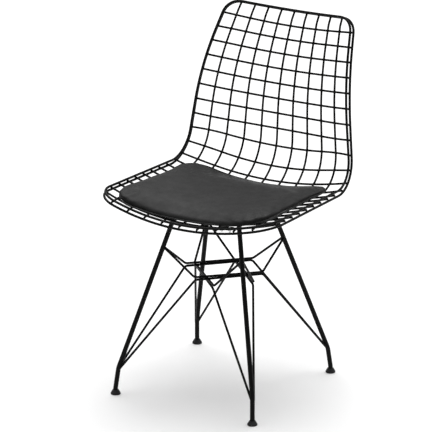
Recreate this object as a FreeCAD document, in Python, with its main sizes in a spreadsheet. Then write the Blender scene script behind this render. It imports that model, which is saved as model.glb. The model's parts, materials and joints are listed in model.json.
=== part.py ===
# Wire mesh side chair: a welded double-rimmed shell on a rod base with crossed wire bracing.
# Millimetres. The chair faces -Y, +X is to the right seen from the front, +Z is up.
# The chair is built round the point on the floor midway between its four feet, and is moved
# along Y at the end, so that the origin of the parts lies under the middle of the whole chair.
import FreeCAD
import Part
import Sketcher
import math
import os

V = FreeCAD.Vector
UP_X = V(1, 0, 0)
UP_Z = V(0, 0, 1)

doc = FreeCAD.newDocument("WireMeshChair")

# Driving dimensions
SIZES = [
    ("mesh_wire", 5.0),             # diameter of the wires of the mesh
    ("rim_wire", 5.8),              # diameter of the two rim wires that hold the ends of the mesh
    ("weld_gap", 0.1),              # modelling gap at a welded crossing
    ("wire_end", 1.5),              # how far a wire end runs past the centre of the rims
    ("end_dip", 22.0),              # last length of a longitudinal wire, which dips between the rims
    ("end_dip_radius", 50.0),
    ("seat_front_reach", 199.0),    # front edge ahead of the middle of the base
    ("seat_front_height", 450.5),   # middle of the front edge above the floor
    ("seat_slope", 2.7),            # degrees, the seat falls towards the back
    ("seat_depth", 438.8),          # front edge to the corner between seat and back
    ("low_back_length", 248.0),     # that corner to the lumbar corner
    ("low_back_lean", 3.1),         # degrees from upright
    ("high_back_length", 158.5),    # lumbar corner to the top edge
    ("high_back_lean", 25.6),       # degrees from upright
    ("seat_bend_radius", 105.0),    # bend between seat and back on the centre line
    ("lumbar_bend_radius", 450.0),
    ("front_half_width", 226.0),    # half width of the mesh at the front edge
    ("seat_taper", 6.0),            # half width lost along the seat and the two parts of the back
    ("low_back_taper", 29.5),
    ("high_back_taper", 26.5),
    ("front_dish", 34.5),           # how far the sides stand above the centre line
    ("seat_dish", 36.0),
    ("low_back_dish", 41.5),
    ("lumbar_dish", 34.0),
    ("lumbar_lift", 4.2),           # how far the lumbar corner climbs towards the sides
    ("top_dish", 24.6),
    ("front_bow", 15.0),            # how far the front edge draws back towards the sides
    ("outer_bay_ratio", 0.95),      # width of the bay beside the rim over that of the others
    ("front_corner_radius", 56.0),
    ("top_corner_radius", 40.0),
    ("foot_spacing_x", 364.0),      # centre to centre of the feet
    ("foot_spacing_y", 368.0),
    ("leg_rod", 11.0),              # diameter of legs and seat rails
    ("leg_bend_height", 62.0),
    ("leg_end_length", 10.0),       # upright end of the leg, which stands in the glide
    ("leg_end_radius", 15.0),
    ("leg_bend_inset_x", 4.0),
    ("leg_bend_inset_y", 7.0),
    ("leg_bend_radius", 50.0),
    ("leg_top_spacing_y", 147.0),
    ("rail_outset", 2.0),           # rail outside the middle of its bay of wires
    ("rail_overhang", 22.0),        # rail beyond the middle of a clip
    ("cross_rod", 8.0),
    ("cross_rod_drop", 3.0),        # cross rods below the axes of the rails
    ("cross_rod_spacing", 110.0),
    ("brace_wire", 5.5),
    ("brace_height", 277.0),        # middle of the four crossing bundles above the floor
    ("brace_half_length", 80.0),    # half of a bundle's level run
    ("brace_offset", 47.5),         # bundle to the diagonal it follows
    ("brace_upper_joint", 348.5),   # heights at which the braces meet the legs
    ("brace_lower_joint", 57.0),
    ("brace_bend_radius", 11.0),
    ("glide_diameter", 23.0),
    ("glide_height", 10.0),
    ("glide_rim_height", 2.5),
    ("glide_neck", 14.5),
    ("glide_floor", 4.0),           # plastic below the end of the leg
    ("fit_gap", 0.15),              # radial fit of rod in glide and of screw in plate
    ("clip_side_gap", 2.8),         # clip plate to the longitudinal wires beside it
    ("clip_length", 50.0),
    ("clip_plate", 2.0),
    ("saddle_length", 22.0),
    ("saddle_plate", 3.0),
    ("screw_diameter", 5.0),
    ("screw_head", 9.0),
    ("screw_head_height", 1.6),
    ("screw_edge", 5.0),            # screw to the side of the plate
    ("nut_width", 8.0),             # across the flats
    ("nut_height", 4.0),
    ("screw_overrun", 3.0),         # thread beyond the nut
    ("plate_rise", 0.35),           # the flat plate stands off the curve of the wires
    ("cushion_front", 189.0),       # reach of the cushion ahead of and behind the origin
    ("cushion_back", 167.0),
    ("cushion_half_width", 197.0),
    ("cushion_taper", 12.0),         # half width lost towards the back
    ("cushion_draw", 3.0),          # how far the sides pull in between the corners
    ("cushion_front_corner", 70.0),
    ("cushion_back_corner", 58.0),
    ("cushion_front_edge", 17.0),   # thickness at the front edge, at the back edge and in the middle
    ("cushion_back_edge", 8.0),
    ("cushion_crown", 29.0),
    ("cushion_edge_round", 10.0),
    ("cushion_gap", 0.4),           # clearance over the wires
]
COUNTS = [
    ("side_wires", 4),              # longitudinal wires on each side of the centre one
    ("seat_rows", 9),               # cross wires on the straight part of the seat
]

sheet = doc.addObject("Spreadsheet::Sheet", "sizes")
for number, (name, value) in enumerate(SIZES + COUNTS, start=1):
    sheet.set("A%d" % number, name)
    sheet.set("B%d" % number, str(value))
    sheet.setAlias("B%d" % number, name)
doc.recompute()


def size(name):
    return float(getattr(sheet, name))


def radius_of(name):
    return size(name) / 2


NODES = []


def node(piece, name):
    """Takes an object of the document as a sub-part, under its own label."""
    piece.Label = name
    NODES.append(piece)
    return piece


# Bent wires


def bent_path(points, radii, closed=False):
    """Straight runs between the points, joined by tangent arcs of the given radii."""
    count = len(points)
    corners = range(count) if closed else range(1, count - 1)
    starts, ends, arcs = {}, {}, {}
    for i in corners:
        before = (points[i] - points[i - 1]).normalize()
        after = (points[(i + 1) % count] - points[i]).normalize()
        turn = before.getAngle(after)
        reach = radii[i] * math.tan(turn / 2)
        bisector = (after - before).normalize()
        middle = points[i] + bisector * (radii[i] / math.cos(turn / 2) - radii[i])
        starts[i] = points[i] - before * reach
        ends[i] = points[i] + after * reach
        arcs[i] = Part.Arc(starts[i], middle, ends[i]).toShape()
    edges = []
    for i in range(count if closed else count - 1):
        j = (i + 1) % count
        run_start = ends.get(i, points[i])
        run_end = starts.get(j, points[j])
        run = run_end - run_start
        if run.dot(points[j] - points[i]) < -1e-6:
            raise ValueError("arcs overlap on run %d" % i)
        if run.Length > 1e-4:
            edges.append(Part.LineSegment(run_start, run_end).toShape())
        if j in arcs:
            edges.append(arcs[j])
    return Part.Wire(edges)


def swept_wire(name, path_wire, diameter):
    """A round wire of the diameter named in the sheet, swept along a path."""
    path = doc.addObject("Part::Feature", name + "_path")
    path.Shape = path_wire
    first = path_wire.Edges[0]
    section = doc.addObject("Part::Circle", name + "_section")
    section.setExpression("Radius", "sizes.%s / 2" % diameter)
    turn = FreeCAD.Rotation(UP_Z, first.tangentAt(first.FirstParameter))
    section.Placement = FreeCAD.Placement(first.valueAt(first.FirstParameter), turn)
    sweep = doc.addObject("Part::Sweep", name + "_sweep")
    sweep.Sections = [section]
    sweep.Spine = (path, ["Edge%d" % (k + 1) for k in range(len(path_wire.Edges))])
    sweep.Solid = True
    sweep.Frenet = False
    sweep.Transition = "Transformed"
    return sweep


# The dished surface that the longitudinal wires lie in

LEAN_LOW = math.radians(size("low_back_lean"))
LEAN_HIGH = math.radians(size("high_back_lean"))
SLOPE = math.radians(size("seat_slope"))
ALONG_SEAT = V(0, math.cos(SLOPE), -math.sin(SLOPE))
ALONG_LOW_BACK = V(0, math.sin(LEAN_LOW), math.cos(LEAN_LOW))
ALONG_HIGH_BACK = V(0, math.sin(LEAN_HIGH), math.cos(LEAN_HIGH))


def facing(along):
    """The direction square to a run of the profile, towards the sitter."""
    return V(0, -along.z, along.y)


def lumbar_shift():
    middle = (ALONG_LOW_BACK + ALONG_HIGH_BACK).normalize()
    return facing(middle) * size("lumbar_dish") + middle * size("lumbar_lift")


FRONT = V(0, -size("seat_front_reach"), size("seat_front_height"))
BEND = FRONT + ALONG_SEAT * size("seat_depth")
LUMBAR = BEND + ALONG_LOW_BACK * size("low_back_length")
TOP = LUMBAR + ALONG_HIGH_BACK * size("high_back_length")

FRONT_HALF = size("front_half_width")
BEND_HALF = FRONT_HALF - size("seat_taper")
LUMBAR_HALF = BEND_HALF - size("low_back_taper")
TOP_HALF = LUMBAR_HALF - size("high_back_taper")

# Each corner of the profile: its centre, the shift of its sides, and its half width
CORNERS = [
    (FRONT, V(0, size("front_bow"), size("front_dish")), FRONT_HALF),
    (BEND, V(0, -size("low_back_dish"), size("seat_dish")), BEND_HALF),
    (LUMBAR, lumbar_shift(), LUMBAR_HALF),
    (TOP, facing(ALONG_HIGH_BACK) * size("top_dish"), TOP_HALF),
]


def dish_share(u, corner):
    """Share of the shift at u, from 0 on the centre line to 1 at the rim: a circular arc."""
    centre, shift, half_width = corner
    depth = shift.Length
    arc_radius = (half_width ** 2 + depth ** 2) / (2 * depth)
    return (arc_radius - math.sqrt(arc_radius ** 2 - (u * half_width) ** 2)) / depth


def corner_point(u, corner):
    centre, shift, half_width = corner
    return centre + shift * dish_share(u, corner) + UP_X * (u * half_width)


def profile_points(u):
    return [corner_point(u, corner) for corner in CORNERS]


def seat_bend_radius(u):
    """The bend is tighter at the sides, which stand inside it."""
    rise = (size("seat_dish") + size("low_back_dish")) / 2
    return size("seat_bend_radius") - rise * dish_share(u, CORNERS[1])


def across_slope(u, corner):
    """The direction across the shell at u."""
    step = 0.01
    return (corner_point(u + step, corner) - corner_point(u - step, corner)).normalize()


def outward_normal(u, corner, along):
    """Square to the shell at a corner of the profile, on the side away from the sitter."""
    return across_slope(u, corner).cross(along).normalize() * -1


# Layers, measured from the longitudinal wires to the side away from the sitter
ROW_LAYER = size("mesh_wire") + size("weld_gap")
RIM_REACH = radius_of("mesh_wire") + radius_of("rim_wire") + size("weld_gap")
UPPER_RIM_LAYER = ROW_LAYER - RIM_REACH
LOWER_RIM_LAYER = ROW_LAYER + RIM_REACH


def wire_share(number):
    """Position of a longitudinal wire across the shell, with the rim at 1."""
    return number / (size("side_wires") + size("outer_bay_ratio"))


# Places of the cross wires along a longitudinal wire


def arc_point(before, corner, after, bend_radius, share):
    """Point and direction at a share of the arc that rounds a corner."""
    first = (corner - before).normalize()
    second = (after - corner).normalize()
    turn = first.getAngle(second)
    side = (second - first * first.dot(second)).normalize()
    angle = turn * share
    start = corner - first * (bend_radius * math.tan(turn / 2))
    point = start + first * (bend_radius * math.sin(angle))
    point = point + side * (bend_radius * (1 - math.cos(angle)))
    return point, first * math.cos(angle) + side * math.sin(angle)


def station_point(u, part, share):
    """Point and direction at a share of one part of the longitudinal wire at u."""
    front, bend, lumbar, top = profile_points(u)
    seat_bend = (front, bend, lumbar, seat_bend_radius(u))
    lumbar_bend = (bend, lumbar, top, size("lumbar_bend_radius"))
    if part == "seat_bend":
        return arc_point(*seat_bend, share)
    if part == "lumbar_bend":
        return arc_point(*lumbar_bend, share)
    if part == "seat":
        start, end = front, arc_point(*seat_bend, 0)[0]
    elif part == "low_back":
        start, end = arc_point(*seat_bend, 1)[0], arc_point(*lumbar_bend, 0)[0]
    else:
        start, end = arc_point(*lumbar_bend, 1)[0], top
    return start + (end - start) * share, (end - start).normalize()


def row_point(u, part, centre_share, side_share):
    """Centre of a cross wire where it passes the longitudinal wire at u."""
    share = centre_share + (side_share - centre_share) * u * u
    point, along = station_point(u, part, share)
    step = 0.01
    aside = station_point(u + step, part, share)[0] - station_point(u - step, part, share)[0]
    outward = aside.normalize().cross(along).normalize() * -1
    return point + outward * ROW_LAYER


# Rims


def offset_profile(u, distance):
    """The profile at u moved away from the sitter, square to the shell."""
    front, bend, lumbar, top = profile_points(u)
    runs = [bend - front, lumbar - bend, top - lumbar]
    sides = [
        (across_slope(u, CORNERS[0]), runs[0], front),
        (across_slope(u, CORNERS[1]), runs[1], bend),
        (across_slope(u, CORNERS[3]), runs[2], top),
    ]
    moved = []
    for aside, along, anchor in sides:
        outward = aside.cross(along).normalize() * -1
        moved.append((anchor + outward * distance, along))
    points = [moved[0][0]]
    for (start, along), (other, next_along) in zip(moved, moved[1:]):
        flat, next_flat = V(0, along.y, along.z), V(0, next_along.y, next_along.z)
        across = facing(next_flat).normalize()
        reach = across.dot(other - start) / across.dot(flat)
        points.append(start + along * reach)
    points.append(moved[2][0])
    return points


def edge_apex(corner, middle, corner_reach):
    """Where the tangents of an edge's arc meet, so that the arc passes through its middle."""
    half_width = corner.x
    chord_middle = V(0, corner.y, corner.z)
    sink = (middle - chord_middle).normalize()
    depth = (middle - chord_middle).Length
    below = 0.0
    for repeat in range(40):
        rise = math.atan((depth + below) / half_width)
        reach = half_width / math.cos(rise) - corner_reach
        below = reach * math.tan(rise / 2)
    arc_radius = reach / math.tan(rise)
    return chord_middle + sink * (depth + below), arc_radius


def rim_path(layer):
    """A closed rim at a layer of the shell."""
    right = offset_profile(1, layer)
    middles = offset_profile(0, layer)
    front_apex, front_arc = edge_apex(right[0], middles[0], size("front_corner_radius"))
    top_apex, top_arc = edge_apex(right[3], middles[3], size("top_corner_radius"))
    left = [V(-p.x, p.y, p.z) for p in reversed(right)]
    corner_radii = [
        size("front_corner_radius"),
        seat_bend_radius(1) + layer,
        size("lumbar_bend_radius") - layer,
        size("top_corner_radius"),
    ]
    points = [front_apex] + right + [top_apex] + left
    radii = [front_arc] + corner_radii + [top_arc] + corner_radii[::-1]
    return bent_path(points, radii, closed=True)


UPPER_RIM = rim_path(UPPER_RIM_LAYER)
LOWER_RIM = rim_path(LOWER_RIM_LAYER)
node(swept_wire("upper_rim", UPPER_RIM, "rim_wire"), "upper_rim")
node(swept_wire("lower_rim", LOWER_RIM, "rim_wire"), "lower_rim")


def between_rims(point):
    """Midway between the nearest points of the two rims."""
    vertex = Part.Vertex(point)
    upper = UPPER_RIM.distToShape(vertex)[1][0][0]
    lower = LOWER_RIM.distToShape(vertex)[1][0][0]
    return (upper + lower) / 2


# Longitudinal wires


def dipped_end(edge, along, outward):
    """Where a wire leaves its layer near an edge, and where it ends between the rims."""
    start = edge - along * size("end_dip")
    held = between_rims(edge + outward * ROW_LAYER)
    return start, held + (held - start).normalize() * size("wire_end")


def long_wire_path(u):
    """From the front rims along the seat, round the bend and up to the top rims."""
    front, bend, lumbar, top = profile_points(u)
    forward, upward = (front - bend).normalize(), (top - lumbar).normalize()
    down = outward_normal(u, CORNERS[0], bend - front)
    back = outward_normal(u, CORNERS[3], top - lumbar)
    front_dip, front_end = dipped_end(front, forward, down)
    top_dip, top_end = dipped_end(top, upward, back)
    points = [front_end, front_dip, bend, lumbar, top_dip, top_end]
    dip_radius = size("end_dip_radius")
    radii = [0, dip_radius, seat_bend_radius(u), size("lumbar_bend_radius"), dip_radius, 0]
    return bent_path(points, radii)


SIDE_WIRES = int(size("side_wires"))
for number in range(-SIDE_WIRES, SIDE_WIRES + 1):
    side = "left" if number < 0 else "right"
    name = "long_wire_centre" if number == 0 else "long_wire_%s_%d" % (side, abs(number))
    node(swept_wire(name, long_wire_path(wire_share(number)), "mesh_wire"), name)

# Cross wires


def arc_onward(start, along, end):
    """The arc that leaves a point in a given direction and reaches another."""
    chord = end - start
    turn = along.getAngle(chord)
    middle = start + chord / 2
    if turn > 1e-4:
        aside = along - chord * (along.dot(chord) / chord.dot(chord))
        middle = middle + aside.normalize() * (chord.Length / 2 * math.tan(turn / 2))
    return Part.Arc(start, middle, end)


def row_path(part, centre_share, side_share):
    """A cross wire in three arcs that follows the longitudinal wires and ends between the rims."""
    knee_share = wire_share(SIDE_WIRES - 1)
    centre = row_point(0, part, centre_share, side_share)
    knee = row_point(knee_share, part, centre_share, side_share)
    held = between_rims(row_point(1, part, centre_share, side_share))
    middle_arc = Part.Arc(V(-knee.x, knee.y, knee.z), centre, knee)
    along = middle_arc.tangent(middle_arc.LastParameter)[0]
    end = held + (held - knee).normalize() * size("wire_end")
    right_arc = arc_onward(knee, along, end)
    halfway = right_arc.value((right_arc.FirstParameter + right_arc.LastParameter) / 2)
    left_end, left_halfway = V(-end.x, end.y, end.z), V(-halfway.x, halfway.y, halfway.z)
    left_arc = Part.Arc(left_end, left_halfway, V(-knee.x, knee.y, knee.z))
    return Part.Wire([left_arc.toShape(), middle_arc.toShape(), right_arc.toShape()])


# Cross wires of the back and of the bend: part of the profile, share of that part on the
# centre line and share at the sides, from the top edge down
BACK_ROWS = [
    ("high_back", 0.47, 0.54),
    ("lumbar_bend", 1.0, 1.02),
    ("lumbar_bend", 0.8, 0.825),
    ("lumbar_bend", 0.6, 0.625),
    ("lumbar_bend", 0.4, 0.425),
    ("lumbar_bend", 0.2, 0.225),
    ("lumbar_bend", 0.0, 0.02),
    ("low_back", 0.33, 0.56),
    ("seat_bend", 0.86, 1.05),
    ("seat_bend", 0.58, 0.73),
    ("seat_bend", 0.35, 0.42),
    ("seat_bend", 0.13, 0.17),
]
SEAT_ROW_FIRST = 0.942      # shares of the straight seat, measured from the front edge
SEAT_ROW_LAST = 0.090

for number, (part, centre_share, side_share) in enumerate(BACK_ROWS, start=1):
    name = "back_cross_wire_%02d" % number
    node(swept_wire(name, row_path(part, centre_share, side_share), "mesh_wire"), name)

SEAT_ROWS = int(size("seat_rows"))


def seat_row_share(number):
    """Share of the straight seat for a cross wire, numbered from 0 at the back."""
    return SEAT_ROW_FIRST + (SEAT_ROW_LAST - SEAT_ROW_FIRST) * number / (SEAT_ROWS - 1)


for number in range(SEAT_ROWS):
    share = seat_row_share(number)
    name = "seat_cross_wire_%02d" % (number + 1)
    node(swept_wire(name, row_path("seat", share, share), "mesh_wire"), name)

# Seat rails: two rods under the seat, parallel to it, that carry the shell

BAY = size("front_half_width") / (size("side_wires") + size("outer_bay_ratio"))
RAIL_X = 1.5 * BAY + size("rail_outset")    # in the second bay from the centre
RAIL_SHARE = RAIL_X / size("front_half_width")
RAIL_DEPTH = ROW_LAYER + radius_of("mesh_wire") + radius_of("leg_rod") + size("weld_gap")


def rail_point(y, sign=1):
    """The axis of a rail at a distance y behind the origin."""
    corner = CORNERS[0]
    over = corner_point(RAIL_SHARE, corner)
    outward = outward_normal(RAIL_SHARE, corner, ALONG_SEAT)
    point = over + outward * RAIL_DEPTH
    point = point + ALONG_SEAT * ((y - point.y) / ALONG_SEAT.y)
    return V(sign * RAIL_X, point.y, point.z)


def clip_place(after_row):
    """Distance behind the origin of a clip that bridges two neighbouring cross wires."""
    shares = [seat_row_share(after_row), seat_row_share(after_row + 1)]
    places = [station_point(RAIL_SHARE, "seat", share)[0].y for share in shares]
    return sum(places) / 2


REAR_CLIP = clip_place(0)
FRONT_CLIP = clip_place(SEAT_ROWS - 3)
RAIL_FRONT = FRONT_CLIP - size("rail_overhang")
RAIL_LENGTH = (REAR_CLIP + size("rail_overhang") - RAIL_FRONT) / ALONG_SEAT.y


def along_axis(start, direction):
    return FreeCAD.Placement(start, FreeCAD.Rotation(UP_Z, direction))


def round_rod(name, start, direction, diameter, length):
    rod = doc.addObject("Part::Cylinder", name)
    rod.setExpression("Radius", "sizes.%s / 2" % diameter)
    rod.Height = length
    rod.Placement = along_axis(start, direction)
    return rod


rails = {}
for side, sign in (("left", -1), ("right", 1)):
    name = side + "_seat_rail"
    rod = round_rod(name + "_rod", rail_point(RAIL_FRONT, sign), ALONG_SEAT, "leg_rod", RAIL_LENGTH)
    rails[sign] = node(rod, name)

both_rails = doc.addObject("Part::Compound", "both_rails")
both_rails.Links = list(rails.values())

for end, sign in (("front", -1), ("rear", 1)):
    centre = rail_point(sign * radius_of("cross_rod_spacing"))
    start = V(-RAIL_X, centre.y, centre.z - size("cross_rod_drop"))
    name = end + "_cross_rod"
    bar = round_rod(name + "_bar", start, UP_X, "cross_rod", 2 * RAIL_X)
    coped = doc.addObject("Part::Cut", name + "_coped")
    coped.Base = bar
    coped.Tool = both_rails
    node(coped, name)

# Legs

LEG_SIDES = {
    "front_left": (-1, -1),
    "front_right": (1, -1),
    "rear_left": (-1, 1),
    "rear_right": (1, 1),
}


def leg_points(sign_x, sign_y):
    """End, foot, bend and top of a leg's axis."""
    end = V(radius_of("foot_spacing_x"), radius_of("foot_spacing_y") * sign_y, size("glide_floor"))
    foot = end + UP_Z * size("leg_end_length")
    bend = V(
        foot.x - size("leg_bend_inset_x"),
        foot.y - size("leg_bend_inset_y") * sign_y,
        size("leg_bend_height"),
    )
    beside = rail_point(radius_of("leg_top_spacing_y") * sign_y)
    top = beside + UP_X * (size("leg_rod") - size("fit_gap"))
    return [V(p.x * sign_x, p.y, p.z) for p in (end, foot, bend, top)]


legs = {}
for place, (sign_x, sign_y) in LEG_SIDES.items():
    name = place + "_leg"
    path = bent_path(leg_points(sign_x, sign_y), [0, size("leg_end_radius"), size("leg_bend_radius"), 0])
    legs[place] = node(swept_wire(name, path, "leg_rod"), name)

all_legs = doc.addObject("Part::Compound", "all_legs")
all_legs.Links = list(legs.values())

# Braces: on each diagonal two bundles of two wires, one from the upper joints, one from the lower


def leg_axis_at(place, height):
    end, foot, bend, top = leg_points(*LEG_SIDES[place])
    return bend + (top - bend) * ((height - bend.z) / (top.z - bend.z))


STACK = size("brace_wire") + size("weld_gap")


def brace_path(start_leg, end_leg, side, joint_height, level):
    """A wire from leg to leg that runs level beside the diagonal."""
    start = leg_axis_at(start_leg, joint_height)
    end = leg_axis_at(end_leg, joint_height)
    diagonal = V(end.x - start.x, end.y - start.y, 0).normalize()
    aside = V(-diagonal.y, diagonal.x, 0) * side
    beside_twin = aside * (STACK / 2)
    level_centre = aside * size("brace_offset") + V(0, 0, level)
    half_run = diagonal * size("brace_half_length")
    points = [start + beside_twin, level_centre - half_run, level_centre + half_run, end + beside_twin]
    return bent_path(points, [0, size("brace_bend_radius"), size("brace_bend_radius"), 0])


# Level order of the crossing wires, from the top down, in steps of one wire
BRACES = [
    ("upper", "front_left", "rear_right", "brace_upper_joint", 1.5),
    ("lower", "front_left", "rear_right", "brace_lower_joint", 0.5),
    ("upper", "front_right", "rear_left", "brace_upper_joint", -0.5),
    ("lower", "front_right", "rear_left", "brace_lower_joint", -1.5),
]
for kind, start_leg, end_leg, joint, step in BRACES:
    for side, side_name in ((1, "a"), (-1, "b")):
        name = "%s_brace_%s_%s" % (kind, start_leg, side_name)
        level = size("brace_height") + step * STACK
        sweep = swept_wire(name, brace_path(start_leg, end_leg, side, size(joint), level), "brace_wire")
        coped = doc.addObject("Part::Cut", name + "_coped")
        coped.Base = sweep
        coped.Tool = all_legs
        node(coped, name)

# Glides: turned plastic feet with a blind socket for the end of the leg


def origin_plane(body, role):
    return [feature for feature in body.Origin.OriginFeatures if feature.Role == role][0]


def new_sketch(body, name, role):
    sketch = body.newObject("Sketcher::SketchObject", name)
    sketch.AttachmentSupport = (origin_plane(body, role), [""])
    sketch.MapMode = "FlatFace"
    return sketch


def drive(sketch, constraint, expression):
    """Adds a dimension and binds it to the sheet."""
    index = sketch.addConstraint(constraint)
    sketch.setExpression("Constraints[%d]" % index, expression)


def glide(place, sign_x, sign_y):
    body = doc.addObject("PartDesign::Body", place + "_glide_body")
    sketch = new_sketch(body, place + "_glide_outline", "XZ_Plane")
    outer, neck = radius_of("glide_diameter"), radius_of("glide_neck")
    rim, height = size("glide_rim_height"), size("glide_height")
    bore, floor = radius_of("leg_rod") + size("fit_gap"), size("glide_floor")
    corners = [(0, 0), (outer, 0), (outer, rim), (neck, height), (bore, height), (bore, floor), (0, floor)]
    for k, (x, z) in enumerate(corners):
        following = corners[(k + 1) % len(corners)]
        sketch.addGeometry(Part.LineSegment(V(x, z, 0), V(following[0], following[1], 0)))
    count = len(corners)
    for k in range(count):
        sketch.addConstraint(Sketcher.Constraint("Coincident", k, 2, (k + 1) % count, 1))
    sketch.addConstraint(Sketcher.Constraint("Coincident", 0, 1, -1, 1))
    for line in (0, 3, 5):
        sketch.addConstraint(Sketcher.Constraint("Horizontal", line))
    for line in (1, 4, 6):
        sketch.addConstraint(Sketcher.Constraint("Vertical", line))
    drive(sketch, Sketcher.Constraint("DistanceX", 0, 1, 0, 2, outer), "sizes.glide_diameter / 2")
    drive(sketch, Sketcher.Constraint("DistanceY", 1, 1, 1, 2, rim), "sizes.glide_rim_height")
    drive(sketch, Sketcher.Constraint("DistanceX", 0, 1, 2, 2, neck), "sizes.glide_neck / 2")
    drive(sketch, Sketcher.Constraint("DistanceY", 0, 1, 2, 2, height), "sizes.glide_height")
    drive(
        sketch,
        Sketcher.Constraint("DistanceX", 6, 1, 5, 1, bore),
        "sizes.leg_rod / 2 + sizes.fit_gap",
    )
    drive(sketch, Sketcher.Constraint("DistanceY", 6, 2, 6, 1, floor), "sizes.glide_floor")
    turned = body.newObject("PartDesign::Revolution", place + "_glide_turned")
    turned.Profile = sketch
    turned.ReferenceAxis = (sketch, ["V_Axis"])
    turned.Angle = 360
    body.Tip = turned
    x = radius_of("foot_spacing_x") * sign_x
    y = radius_of("foot_spacing_y") * sign_y
    body.Placement = FreeCAD.Placement(V(x, y, 0), FreeCAD.Rotation())
    return node(body, place + "_glide")


for place, (sign_x, sign_y) in LEG_SIDES.items():
    glide(place, sign_x, sign_y)

# Clips: a plate over two cross wires and a saddle under the rail, drawn together by screws


def clip_frames():
    """A frame on the rail's axis for each clip, with its Z square to the shell."""
    frames = []
    for y in (FRONT_CLIP, REAR_CLIP):
        for sign_x in (-1, 1):
            origin = rail_point(y, sign_x)
            outward = outward_normal(RAIL_SHARE * sign_x, CORNERS[0], ALONG_SEAT)
            inward = outward * -1
            aside = ALONG_SEAT.cross(inward)
            turn = FreeCAD.Rotation(aside, ALONG_SEAT, inward, "XYZ")
            frames.append(FreeCAD.Placement(origin, turn))
    return frames


CLIP_WIDTH = (
    "(sizes.front_half_width / (sizes.side_wires + sizes.outer_bay_ratio)"
    " - sizes.mesh_wire - 2 * sizes.clip_side_gap - 2 * sizes.rail_outset)"
)
CLIP_HALF = (BAY - size("mesh_wire")) / 2 - size("clip_side_gap") - size("rail_outset")
SCREW_OFFSET = CLIP_HALF - size("screw_edge")
ON_WIRES = radius_of("leg_rod") + size("mesh_wire") + size("weld_gap") + size("plate_rise")
UNDER_RAIL = -radius_of("leg_rod") - size("weld_gap")


def group(name, make):
    """One sub-part of alike pieces, one or more at each clip."""
    pieces = [piece for frame in clip_frames() for piece in make(frame)]
    compound = doc.addObject("Part::Compound", name + "_group")
    compound.Links = pieces
    return node(compound, name)


def screw_places(frame, height):
    """Where the two screws of a clip cross a level of its frame."""
    points = [V(-SCREW_OFFSET, 0, height), V(SCREW_OFFSET, 0, height)]
    return [frame.multiply(FreeCAD.Placement(point, FreeCAD.Rotation())) for point in points]


def bound(kind, place, **expressions):
    """A primitive with its dimensions bound to the sheet."""
    primitive = doc.addObject("Part::" + kind, kind.lower())
    for name, expression in expressions.items():
        primitive.setExpression(name, expression)
    primitive.Placement = place
    return primitive


def joined(kind, base, tool):
    result = doc.addObject("Part::" + kind, kind.lower())
    result.Base = base
    result.Tool = tool
    return result


SCREW_HOLE = "sizes.screw_diameter / 2 + sizes.fit_gap"


def drilled_plate(frame, bottom, length, thickness):
    corner = V(-CLIP_HALF, -size(length) / 2, bottom)
    place = frame.multiply(FreeCAD.Placement(corner, FreeCAD.Rotation()))
    deep, high = "sizes." + length, "sizes." + thickness
    plate = bound("Box", place, Length=CLIP_WIDTH, Width=deep, Height=high)
    for place in screw_places(frame, bottom):
        plate = joined("Cut", plate, bound("Cylinder", place, Radius=SCREW_HOLE, Height=high))
    return plate


def clip_plate(frame):
    return [drilled_plate(frame, ON_WIRES, "clip_length", "clip_plate")]


def saddle(frame):
    bottom = UNDER_RAIL - size("saddle_plate")
    return [drilled_plate(frame, bottom, "saddle_length", "saddle_plate")]


def nuts(frame):
    bottom = UNDER_RAIL - size("saddle_plate") - size("nut_height") - size("weld_gap")
    made = []
    for place in screw_places(frame, bottom):
        blank = bound("Prism", place, Height="sizes.nut_height")
        blank.Polygon = 6
        blank.setExpression("Circumradius", "sizes.nut_width / sqrt(3)")
        hole = bound("Cylinder", place, Radius=SCREW_HOLE, Height="sizes.nut_height")
        made.append(joined("Cut", blank, hole))
    return made


def screws(frame):
    head_seat = ON_WIRES + size("clip_plate") + size("weld_gap")
    tip = UNDER_RAIL - size("saddle_plate") - size("nut_height") - size("screw_overrun")
    length = (
        "sizes.leg_rod + sizes.mesh_wire + 3 * sizes.weld_gap + sizes.plate_rise"
        " + sizes.clip_plate + sizes.saddle_plate + sizes.nut_height + sizes.screw_overrun"
    )
    made = []
    for tip_place, head_place in zip(screw_places(frame, tip), screw_places(frame, head_seat)):
        shank = bound("Cylinder", tip_place, Radius="sizes.screw_diameter / 2", Height=length)
        head = bound("Cylinder", head_place, Radius="sizes.screw_head / 2")
        head.setExpression("Height", "sizes.screw_head_height")
        made.append(joined("Fuse", shank, head))
    return made


group("clip_plates", clip_plate)
group("clip_saddles", saddle)
group("clip_screws", screws)
group("clip_nuts", nuts)

# Seat cushion: a crowned pad with rounded corners and sides that pull in between them


def corner_inset(distance, corner):
    """How far a rounded corner draws the side in, at a distance from the end."""
    if distance >= corner:
        return 0
    return corner - math.sqrt(corner ** 2 - (corner - distance) ** 2)


SIDE_BULGE = 0.42       # shares of the edge's thickness that shape the rounded side
SIDE_HEIGHT = 0.52
SHOULDER_INSET = 0.30
UNDERCUT = 0.15


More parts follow.
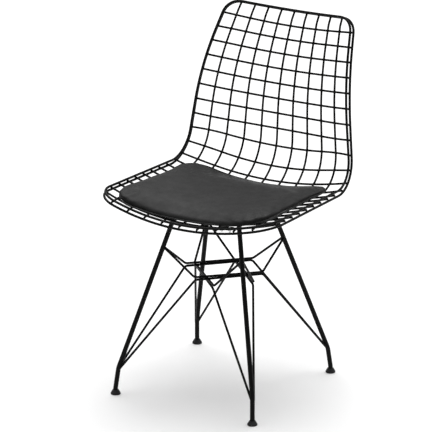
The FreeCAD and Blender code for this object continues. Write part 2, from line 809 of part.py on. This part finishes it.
def cushion_section(y):
    """A closed section square to Y: bottom on the wires, rounded sides, crowned top."""
    from_front, from_back = y + size("cushion_front"), size("cushion_back") - y
    along = from_front / (from_front + from_back)
    half_width = size("cushion_half_width") - size("cushion_taper") * along
    half_width -= size("cushion_draw") * math.sin(math.pi * along)
    half_width -= corner_inset(from_front, size("cushion_front_corner"))
    half_width -= corner_inset(from_back, size("cushion_back_corner"))
    edge_round = size("cushion_edge_round")
    rounding = 1 - corner_inset(min(from_front, from_back), edge_round) / edge_round
    front_edge, back_edge = size("cushion_front_edge"), size("cushion_back_edge")
    full_edge = front_edge + (back_edge - front_edge) * along
    swell = 4 * along * (1 - along)
    edge = full_edge * rounding
    middle = edge + (size("cushion_crown") - full_edge) * swell * rounding
    above = radius_of("mesh_wire") + size("cushion_gap")
    base_middle, base_side = bottom_point(0, y, above), bottom_point(half_width, y, above)
    shoulder = V(half_width - edge * SHOULDER_INSET, y, base_side.z + edge)
    side = V(half_width + edge * (SIDE_BULGE - UNDERCUT), y, base_side.z + edge * SIDE_HEIGHT)
    crown = V(0, y, base_middle.z + middle)
    left = [V(-p.x, p.y, p.z) for p in (base_side, side, shoulder)]
    edges = [
        Part.Arc(left[0], base_middle, base_side),
        Part.Arc(base_side, side, shoulder),
        Part.Arc(shoulder, crown, left[2]),
        Part.Arc(left[2], left[1], left[0]),
    ]
    return Part.Wire([edge_curve.toShape() for edge_curve in edges])


def profile_height(u, y):
    """Height of the longitudinal wire at u where it passes y, on the seat or in the bend."""
    front, bend, lumbar, top = profile_points(u)
    bend_radius = seat_bend_radius(u)
    start = arc_point(front, bend, lumbar, bend_radius, 0)[0]
    if y <= start.y:
        return front.z + (start.z - front.z) * (y - front.y) / (start.y - front.y)
    low, high = 0.0, 1.0
    for repeat in range(40):
        share = (low + high) / 2
        point = arc_point(front, bend, lumbar, bend_radius, share)[0]
        low, high = (share, high) if point.y < y else (low, share)
    return point.z


def bottom_point(x, y, above):
    """A point over the wires of the seat, a distance above their axes square to the seat."""
    front, bend = CORNERS[0], CORNERS[1]
    along = (y - front[0].y) / (bend[0].y - front[0].y)
    half_width = front[2] + (bend[2] - front[2]) * along
    u = abs(x) / half_width
    steepness = 2 * u * size("seat_dish") / half_width
    return V(x, y, profile_height(u, y) + above * math.sqrt(1 + steepness ** 2))


END_STEP = 1.2
SIDE_STATIONS = [-0.3, 0.0, 0.35]   # of the reach to the front or the back
ROUND_STATIONS = [0.09, 0.2, 0.45]  # of a corner's radius
front_corner, back_corner = size("cushion_front_corner"), size("cushion_back_corner")
front_steps = [END_STEP] + [share * front_corner for share in ROUND_STATIONS] + [front_corner]
back_steps = [END_STEP] + [share * back_corner for share in ROUND_STATIONS] + [back_corner]
cushion_stations = [step - size("cushion_front") for step in front_steps]
cushion_stations += [share * size("cushion_back") for share in SIDE_STATIONS]
cushion_stations += [size("cushion_back") - step for step in reversed(back_steps)]
sections = []
for number, y in enumerate(cushion_stations, start=1):
    section = doc.addObject("Part::Feature", "cushion_section_%02d" % number)
    section.Shape = cushion_section(y)
    sections.append(section)
cushion = doc.addObject("Part::Loft", "cushion_loft")
cushion.Sections = sections
cushion.Solid = True
cushion.Ruled = False
node(cushion, "seat_cushion")

# Checks and export

doc.recompute()
for item in doc.Objects:
    if "Invalid" in item.State or "Error" in item.State:
        raise RuntimeError("%s did not recompute: %s" % (item.Label, item.State))
for piece in NODES:
    if piece.Shape.isNull() or not piece.Shape.isValid():
        raise RuntimeError("%s has no valid shape" % piece.Label)
    if not piece.Shape.Solids:
        raise RuntimeError("%s has no solid" % piece.Label)

whole = Part.makeCompound([piece.Shape for piece in NODES]).optimalBoundingBox()
under_middle = V(0, -(whole.YMin + whole.YMax) / 2, 0)
os.makedirs("parts", exist_ok=True)
for piece in NODES:
    moved = piece.Shape.translated(under_middle)
    moved.exportStep("parts/%s.step" % piece.Label)
print("%d nodes" % len(NODES))
print("%.1f x %.1f x %.1f mm" % (whole.XLength, whole.YLength, whole.ZLength))
print("moved by %.3f mm along Y" % under_middle.y)
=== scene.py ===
import json
import math

import bpy
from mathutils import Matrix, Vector
from mathutils.bvhtree import BVHTree


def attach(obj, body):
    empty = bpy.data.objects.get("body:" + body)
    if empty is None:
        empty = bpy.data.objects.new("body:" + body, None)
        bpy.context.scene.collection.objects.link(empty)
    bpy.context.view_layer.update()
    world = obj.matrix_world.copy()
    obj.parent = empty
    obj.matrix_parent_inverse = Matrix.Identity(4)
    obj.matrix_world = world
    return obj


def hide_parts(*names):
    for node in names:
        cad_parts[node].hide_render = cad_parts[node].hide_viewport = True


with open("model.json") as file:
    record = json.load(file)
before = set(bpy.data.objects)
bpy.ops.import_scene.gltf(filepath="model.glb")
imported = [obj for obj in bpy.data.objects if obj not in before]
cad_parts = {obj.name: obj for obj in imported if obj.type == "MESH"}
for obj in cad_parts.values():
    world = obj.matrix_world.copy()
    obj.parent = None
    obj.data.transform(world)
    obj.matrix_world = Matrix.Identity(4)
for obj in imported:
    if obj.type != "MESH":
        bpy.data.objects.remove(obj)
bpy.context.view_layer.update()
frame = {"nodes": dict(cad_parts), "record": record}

scene = bpy.context.scene
nodes = frame["nodes"]

# Camera, at the photograph's angle

AZIMUTH = math.radians(30.46)
ELEVATION = math.radians(19.46)
DISTANCE = 7.578
LOOK_AT = Vector((0.02206, -0.13944, 0.43761))
LENS = 278.98
SENSOR = 36.0

back = Vector((
    math.sin(AZIMUTH) * math.cos(ELEVATION),
    -math.cos(AZIMUTH) * math.cos(ELEVATION),
    math.sin(ELEVATION),
))
camera_data = bpy.data.cameras.new("photo_camera")
camera_data.lens = LENS
camera_data.sensor_width = SENSOR
camera_data.clip_start = 0.1
camera_data.clip_end = 600.0
camera = bpy.data.objects.new("photo_camera", camera_data)
camera.rotation_mode = "QUATERNION"
camera.location = LOOK_AT + back * DISTANCE
camera.rotation_quaternion = (-back).to_track_quat("-Z", "Y")
scene.collection.objects.link(camera)
scene.camera = camera

# Materials


def new_material(name):
    """A material with its nodes cleared but for the surface and the output."""
    material = bpy.data.materials.new(name)
    material.use_nodes = True
    tree = material.node_tree
    tree.nodes.clear()
    output = tree.nodes.new("ShaderNodeOutputMaterial")
    surface = tree.nodes.new("ShaderNodeBsdfPrincipled")
    tree.links.new(surface.outputs["BSDF"], output.inputs["Surface"])
    return material, tree, surface


def object_coordinates(tree, scale=(1.0, 1.0, 1.0)):
    """Texture coordinates in metres of the row frame, stretched by a scale."""
    coordinates = tree.nodes.new("ShaderNodeTexCoord")
    mapping = tree.nodes.new("ShaderNodeMapping")
    mapping.inputs["Scale"].default_value = scale
    tree.links.new(coordinates.outputs["Object"], mapping.inputs["Vector"])
    return mapping.outputs["Vector"]


def noise(tree, vector, scale, detail=3.0, roughness=0.5):
    """A noise texture: scale is features per metre."""
    texture = tree.nodes.new("ShaderNodeTexNoise")
    texture.inputs["Scale"].default_value = scale
    texture.inputs["Detail"].default_value = detail
    texture.inputs["Roughness"].default_value = roughness
    tree.links.new(vector, texture.inputs["Vector"])
    return texture.outputs["Fac"]


def spread(tree, value, low, high, start=0.3, end=0.7):
    """The value's middle range spread over low to high."""
    change = tree.nodes.new("ShaderNodeMapRange")
    change.inputs["From Min"].default_value = start
    change.inputs["From Max"].default_value = end
    change.inputs["To Min"].default_value = low
    change.inputs["To Max"].default_value = high
    tree.links.new(value, change.inputs["Value"])
    return change.outputs["Result"]


def colours(tree, value, dark, light):
    """A colour between two, chosen by a value."""
    ramp = tree.nodes.new("ShaderNodeValToRGB")
    ramp.color_ramp.elements[0].position = 0.3
    ramp.color_ramp.elements[0].color = (*dark, 1.0)
    ramp.color_ramp.elements[1].position = 0.7
    ramp.color_ramp.elements[1].color = (*light, 1.0)
    tree.links.new(value, ramp.inputs["Fac"])
    return ramp.outputs["Color"]


def bump(tree, height, strength, distance, below=None):
    """A bump of a height map, in metres of distance, on top of another bump."""
    node = tree.nodes.new("ShaderNodeBump")
    node.inputs["Strength"].default_value = strength
    node.inputs["Distance"].default_value = distance
    tree.links.new(height, node.inputs["Height"])
    if below is not None:
        tree.links.new(below, node.inputs["Normal"])
    return node.outputs["Normal"]


def powder_coat(name, dark, light):
    """Black powder coat: the fine peel of baked powder, with duller and glossier areas."""
    material, tree, surface = new_material(name)
    vector = object_coordinates(tree)
    tree.links.new(colours(tree, noise(tree, vector, 35.0), dark, light), surface.inputs["Base Color"])
    tree.links.new(spread(tree, noise(tree, vector, 60.0), 0.36, 0.50), surface.inputs["Roughness"])
    surface.inputs["Specular IOR Level"].default_value = 0.08
    peel = bump(tree, noise(tree, vector, 1400.0, 2.0), 0.35, 0.00012)
    waves = bump(tree, noise(tree, vector, 320.0, 1.0), 0.25, 0.00020, peel)
    tree.links.new(waves, surface.inputs["Normal"])
    return material


def leather(name):
    """Black cushion leather: pebbled grain, fine pores, soft folds and a slight sheen."""
    material, tree, surface = new_material(name)
    vector = object_coordinates(tree)
    tint = colours(tree, noise(tree, vector, 14.0), (0.005, 0.005, 0.005), (0.009, 0.009, 0.009))
    tree.links.new(tint, surface.inputs["Base Color"])
    tree.links.new(spread(tree, noise(tree, vector, 45.0), 0.44, 0.56), surface.inputs["Roughness"])
    surface.inputs["Specular IOR Level"].default_value = 0.16
    surface.inputs["Sheen Weight"].default_value = 0.01
    surface.inputs["Sheen Roughness"].default_value = 0.4
    cells = tree.nodes.new("ShaderNodeTexVoronoi")
    cells.feature = "DISTANCE_TO_EDGE"
    cells.inputs["Scale"].default_value = 620.0
    tree.links.new(vector, cells.inputs["Vector"])
    pebbles = spread(tree, cells.outputs["Distance"], 0.0, 1.0, 0.0, 0.35)
    grain = bump(tree, pebbles, 0.45, 0.00012)
    pores = bump(tree, noise(tree, vector, 2600.0, 2.0), 0.20, 0.00005, grain)
    folds = bump(tree, noise(tree, vector, 26.0, 2.0), 0.16, 0.0016, pores)
    tree.links.new(folds, surface.inputs["Normal"])
    return material


def nylon(name):
    """Moulded black nylon, with a fine spark-eroded texture and scuffs."""
    material, tree, surface = new_material(name)
    vector = object_coordinates(tree)
    tint = colours(tree, noise(tree, vector, 90.0), (0.012, 0.012, 0.013), (0.022, 0.022, 0.024))
    tree.links.new(tint, surface.inputs["Base Color"])
    tree.links.new(spread(tree, noise(tree, vector, 220.0), 0.46, 0.62), surface.inputs["Roughness"])
    surface.inputs["Specular IOR Level"].default_value = 0.3
    tree.links.new(bump(tree, noise(tree, vector, 2200.0), 0.3, 0.00008), surface.inputs["Normal"])
    return material


def zinc(name):
    """Bright zinc on steel fasteners, with fine scratches round them."""
    material, tree, surface = new_material(name)
    vector = object_coordinates(tree)
    tint = colours(tree, noise(tree, vector, 180.0), (0.42, 0.43, 0.44), (0.56, 0.56, 0.55))
    tree.links.new(tint, surface.inputs["Base Color"])
    surface.inputs["Metallic"].default_value = 1.0
    tree.links.new(spread(tree, noise(tree, vector, 260.0), 0.26, 0.44), surface.inputs["Roughness"])
    scratched = object_coordinates(tree, (300.0, 4000.0, 900.0))
    tree.links.new(bump(tree, noise(tree, scratched, 1.0), 0.2, 0.00004), surface.inputs["Normal"])
    return material


def studio_floor(name):
    """A pale matt floor with a barely visible mottle."""
    material, tree, surface = new_material(name)
    vector = object_coordinates(tree)
    tint = colours(tree, noise(tree, vector, 2.0), (0.90, 0.90, 0.90), (0.93, 0.93, 0.93))
    tree.links.new(tint, surface.inputs["Base Color"])
    surface.inputs["Roughness"].default_value = 0.9
    surface.inputs["Specular IOR Level"].default_value = 0.0
    return material


FINISHES = {
    "shell_coating": powder_coat("shell_powder_coat", (0.003, 0.003, 0.003), (0.006, 0.006, 0.006)),
    "base_coating": powder_coat("base_powder_coat", (0.003, 0.003, 0.003), (0.006, 0.006, 0.006)),
    "cushion_leather": leather("cushion_leather_grain"),
    "glide_plastic": nylon("moulded_nylon"),
    "fastener_steel": zinc("bright_zinc"),
}


def finish_piece(obj, slot):
    """Gives a piece the finish of its slot."""
    obj.data.materials.clear()
    obj.data.materials.append(FINISHES[slot])


for part in frame["record"]["subparts"]:
    obj = nodes[part["node"]]
    for place in obj.material_slots:
        place.material = FINISHES[part["material_slot"]]

# Seat cushion

VOXEL = 0.005
SHRINK = 0.0015
SWELL_CAP = 0.006
PRESSURE = 2.5
SETTLE_STEPS = 9
FRAMES = 20
CLOTH_STEPS = 5
DOWNWARD = -0.25
PAD_MIDDLE_Y = -0.078
REAR_CORNER = (0.176, 0.156)
CORNER_REACH = 0.075
CORNER_PULL = (0.0085, 0.0085, 0.0015)


def cushion_start():
    """The cushion's CAD form remeshed in even cells and drawn in a little."""
    mesh = nodes["seat_cushion"].data.copy()
    pad = bpy.data.objects.new("cushion_pad", mesh)
    scene.collection.objects.link(pad)
    remesh = pad.modifiers.new("even_cells", "REMESH")
    remesh.mode = "VOXEL"
    remesh.voxel_size = VOXEL
    shown = bpy.context.evaluated_depsgraph_get()
    even = bpy.data.meshes.new_from_object(pad.evaluated_get(shown))
    pad.modifiers.clear()
    pad.data = even
    for vertex in even.vertices:
        if vertex.normal.z > DOWNWARD:
            vertex.co -= vertex.normal * SHRINK
    middle = Vector((0.0, PAD_MIDDLE_Y))
    for vertex in even.vertices:
        away = Vector((abs(vertex.co.x), vertex.co.y - middle.y))
        near = (away - Vector(REAR_CORNER)).length / CORNER_REACH
        if near < 1.0:
            share = (1.0 - near * near) ** 2
            vertex.co.x += math.copysign(CORNER_PULL[0], vertex.co.x) * share
            vertex.co.y += CORNER_PULL[1] * share
            vertex.co.z += CORNER_PULL[2] * share
    return pad


def swell(pad):
    """Lets the pad fill out as cloth under pressure, with its underside held on the wires."""
    held = pad.vertex_groups.new(name="held")
    under = [v.index for v in pad.data.vertices if v.normal.z < DOWNWARD]
    held.add(under, 1.0, "REPLACE")
    cloth = pad.modifiers.new("filling", "CLOTH")
    settings = cloth.settings
    settings.use_pressure = True
    settings.uniform_pressure_force = PRESSURE
    settings.vertex_group_mass = "held"
    settings.effector_weights.gravity = 0.0
    settings.quality = CLOTH_STEPS
    cloth.point_cache.frame_start = 1
    cloth.point_cache.frame_end = FRAMES
    for number in range(1, FRAMES + 1):
        scene.frame_set(number)
    shown = bpy.context.evaluated_depsgraph_get()
    result = bpy.data.meshes.new_from_object(pad.evaluated_get(shown))
    for before, after in zip(pad.data.vertices, result.vertices):
        moved = after.co - before.co
        if moved.length > SWELL_CAP:
            moved *= SWELL_CAP / moved.length
        before.co = before.co + moved
    pad.modifiers.clear()
    pad.vertex_groups.clear()
    bpy.data.meshes.remove(result)
    scene.frame_set(1)


def outline_of(pad, count):
    """The pad's plan outline, as evenly turned points round its middle."""
    reach = [0.0] * count
    middle = Vector((0.0, PAD_MIDDLE_Y))
    for vertex in pad.data.vertices:
        away = Vector((vertex.co.x, vertex.co.y)) - middle
        index = int((math.atan2(away.y, away.x) / math.tau) * count) % count
        reach[index] = max(reach[index], away.length)
    for repeat in range(2):
        reach = [(reach[i - 1] + reach[i] + reach[(i + 1) % count]) / 3 for i in range(count)]
    points = []
    for i, length in enumerate(reach):
        turn = (i + 0.5) / count * math.tau
        points.append(middle + Vector((math.cos(turn), math.sin(turn))) * length)
    return points


def welt(name, points, heights, radius):
    """A thin piped seam round the pad."""
    data = bpy.data.curves.new(name, "CURVE")
    data.dimensions = "3D"
    data.bevel_depth = radius
    data.bevel_resolution = 3
    spline = data.splines.new("NURBS")
    spline.points.add(len(points) - 1)
    for place, point, height in zip(spline.points, points, heights):
        place.co = (point.x, point.y, height, 1.0)
    spline.order_u = 3
    spline.use_cyclic_u = True
    spline.resolution_u = 4
    curve = bpy.data.objects.new(name, data)
    scene.collection.objects.link(curve)
    return curve


cad_cushion = nodes["seat_cushion"]
pad = cushion_start()
swell(pad)
settled = pad.modifiers.new("settled", "SMOOTH")
settled.factor = 0.5
settled.iterations = SETTLE_STEPS
rounding = pad.modifiers.new("rounding", "SUBSURF")
rounding.levels = 1
rounding.render_levels = 1
for face in pad.data.polygons:
    face.use_smooth = True
finish_piece(pad, "cushion_leather")
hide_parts("seat_cushion")
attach(pad, "root")

WELT_COUNT = 150
WELT_RADIUS = 0.0016
WELT_INSET = 0.0012
WELT_RISE = 0.0050
PROBE_INSET = 0.014
PROBE_HEIGHT = 0.2
cad_points = [vertex.co for vertex in cad_cushion.data.vertices]
cad_faces = [tuple(face.vertices) for face in cad_cushion.data.polygons]
tree = BVHTree.FromPolygons(cad_points, cad_faces)
welt_points, welt_heights = [], []
for point in outline_of(pad, WELT_COUNT):
    seam = point - point.normalized() * WELT_INSET
    inner = point - point.normalized() * PROBE_INSET
    hit = tree.ray_cast(Vector((inner.x, inner.y, PROBE_HEIGHT)), Vector((0.0, 0.0, 1.0)))[0]
    if hit is not None:
        welt_points.append(seam)
        welt_heights.append(hit.z + WELT_RISE)
piping = welt("cushion_welt", welt_points, welt_heights, WELT_RADIUS)
finish_piece(piping, "cushion_leather")
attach(piping, "root")

# Floor, light and world

FLOOR_SIZE = 400.0
UNDER_FEET = 0.0003
bpy.ops.mesh.primitive_plane_add(size=FLOOR_SIZE, location=(0.0, 0.0, -UNDER_FEET))
floor = bpy.context.object
floor.name = "studio_floor"
floor.data.materials.append(studio_floor("pale_floor"))


def sun(name, strength, spread_angle, azimuth, elevation):
    """A soft far light from a side of the chair: azimuth 0 is in front of it."""
    data = bpy.data.lights.new(name, "SUN")
    data.energy = strength
    data.angle = math.radians(spread_angle)
    lamp = bpy.data.objects.new(name, data)
    a, e = math.radians(azimuth), math.radians(elevation)
    towards = Vector((math.sin(a) * math.cos(e), -math.cos(a) * math.cos(e), math.sin(e)))
    lamp.rotation_mode = "QUATERNION"
    lamp.rotation_quaternion = towards.to_track_quat("Z", "Y")
    scene.collection.objects.link(lamp)


sun("overhead", 3.6, 75.0, 205.0, 68.0)

world = bpy.data.worlds.new("studio")
world.use_nodes = True
world.node_tree.nodes["Background"].inputs["Color"].default_value = (1.0, 1.0, 1.0, 1.0)
world.node_tree.nodes["Background"].inputs["Strength"].default_value = 0.30
scene.world = world

scene.view_settings.view_transform = "Standard"
scene.view_settings.look = "None"
scene.view_settings.exposure = 0.0
scene.view_settings.gamma = 1.0
